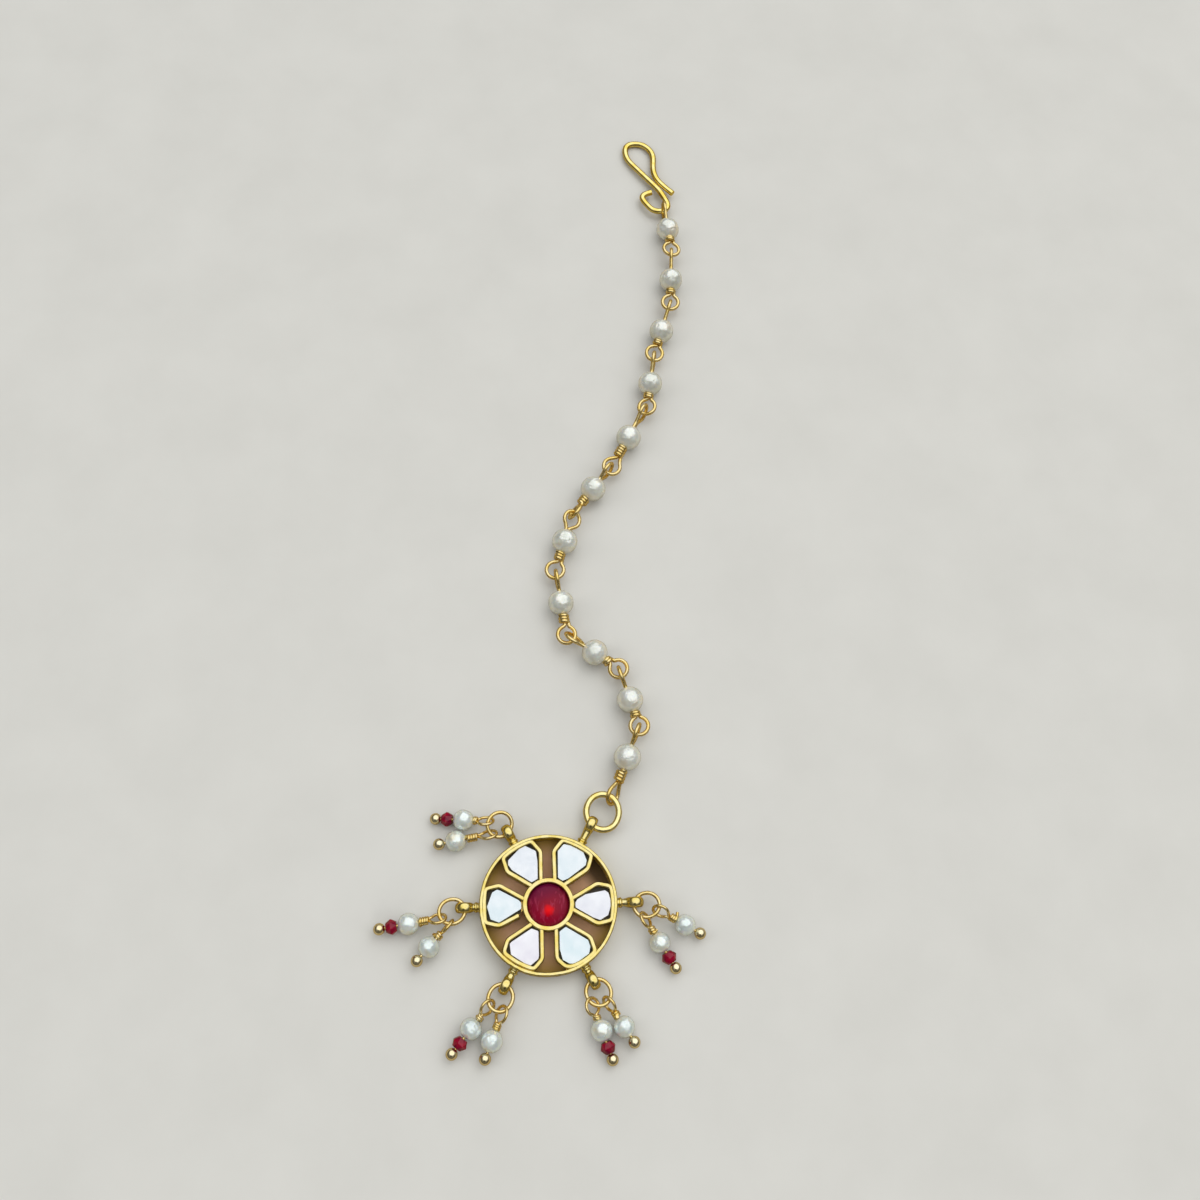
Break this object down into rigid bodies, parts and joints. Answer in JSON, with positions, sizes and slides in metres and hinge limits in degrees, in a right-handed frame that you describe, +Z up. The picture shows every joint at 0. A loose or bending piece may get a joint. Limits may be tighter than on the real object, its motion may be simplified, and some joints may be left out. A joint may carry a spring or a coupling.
{
  "type": "maang tikka",
  "caption": "Forehead ornament for the hair parting: a round gold pendant of mirror petals about a crimson stone, ringed with beaded drops, on a chain of wired pearls with a hair hook.",
  "frame": {"origin": "middle of the pendant's flat back, on the surface that the piece lies on", "axes": "+X to the right across the pendant, +Y from the pendant along the chain toward the hair hook, between the two top petals, +Z up, out of the pendant's face"},
  "size_m": [0.0512, 0.1604, 0.0041],
  "materials": {
    "gold": "polished yellow gold plating",
    "pearl": "soft pearl lustre",
    "mirror": "flat mirror-backed stone",
    "ruby": "polished, foil-backed",
    "red_bead": "polished facets"
  },
  "bodies": {
    "root": {"pendant_frame": "gold", "petal_stone_1": "mirror", "petal_stone_2": "mirror", "petal_stone_3": "mirror", "petal_stone_4": "mirror", "petal_stone_5": "mirror", "petal_stone_6": "mirror", "centre_stone": "ruby", "link_ring": "gold", "chain_link_01": "gold", "chain_pearl_01": "pearl", "chain_link_02": "gold", "chain_pearl_02": "pearl", "chain_link_03": "gold", "chain_pearl_03": "pearl", "chain_link_04": "gold", "chain_pearl_04": "pearl", "chain_link_05": "gold", "chain_pearl_05": "pearl", "chain_link_06": "gold", "chain_pearl_06": "pearl", "chain_link_07": "gold", "chain_pearl_07": "pearl", "chain_link_08": "gold", "chain_pearl_08": "pearl", "chain_link_09": "gold", "chain_pearl_09": "pearl", "chain_link_10": "gold", "chain_pearl_10": "pearl", "chain_link_11": "gold", "chain_pearl_11": "pearl", "hair_hook": "gold", "drop_ring_1": "gold", "drop_pins_1": "gold", "drop_pearl_1a": "pearl", "drop_red_bead_1": "red_bead", "drop_pearl_1b": "pearl", "drop_ring_2": "gold", "drop_pins_2": "gold", "drop_pearl_2a": "pearl", "drop_red_bead_2": "red_bead", "drop_pearl_2b": "pearl", "drop_ring_3": "gold", "drop_pins_3": "gold", "drop_pearl_3a": "pearl", "drop_red_bead_3": "red_bead", "drop_pearl_3b": "pearl", "drop_ring_4": "gold", "drop_pins_4": "gold", "drop_pearl_4a": "pearl", "drop_red_bead_4": "red_bead", "drop_pearl_4b": "pearl", "drop_ring_5": "gold", "drop_pins_5": "gold", "drop_pearl_5a": "pearl", "drop_red_bead_5": "red_bead", "drop_pearl_5b": "pearl"}
  },
  "joints": []
}
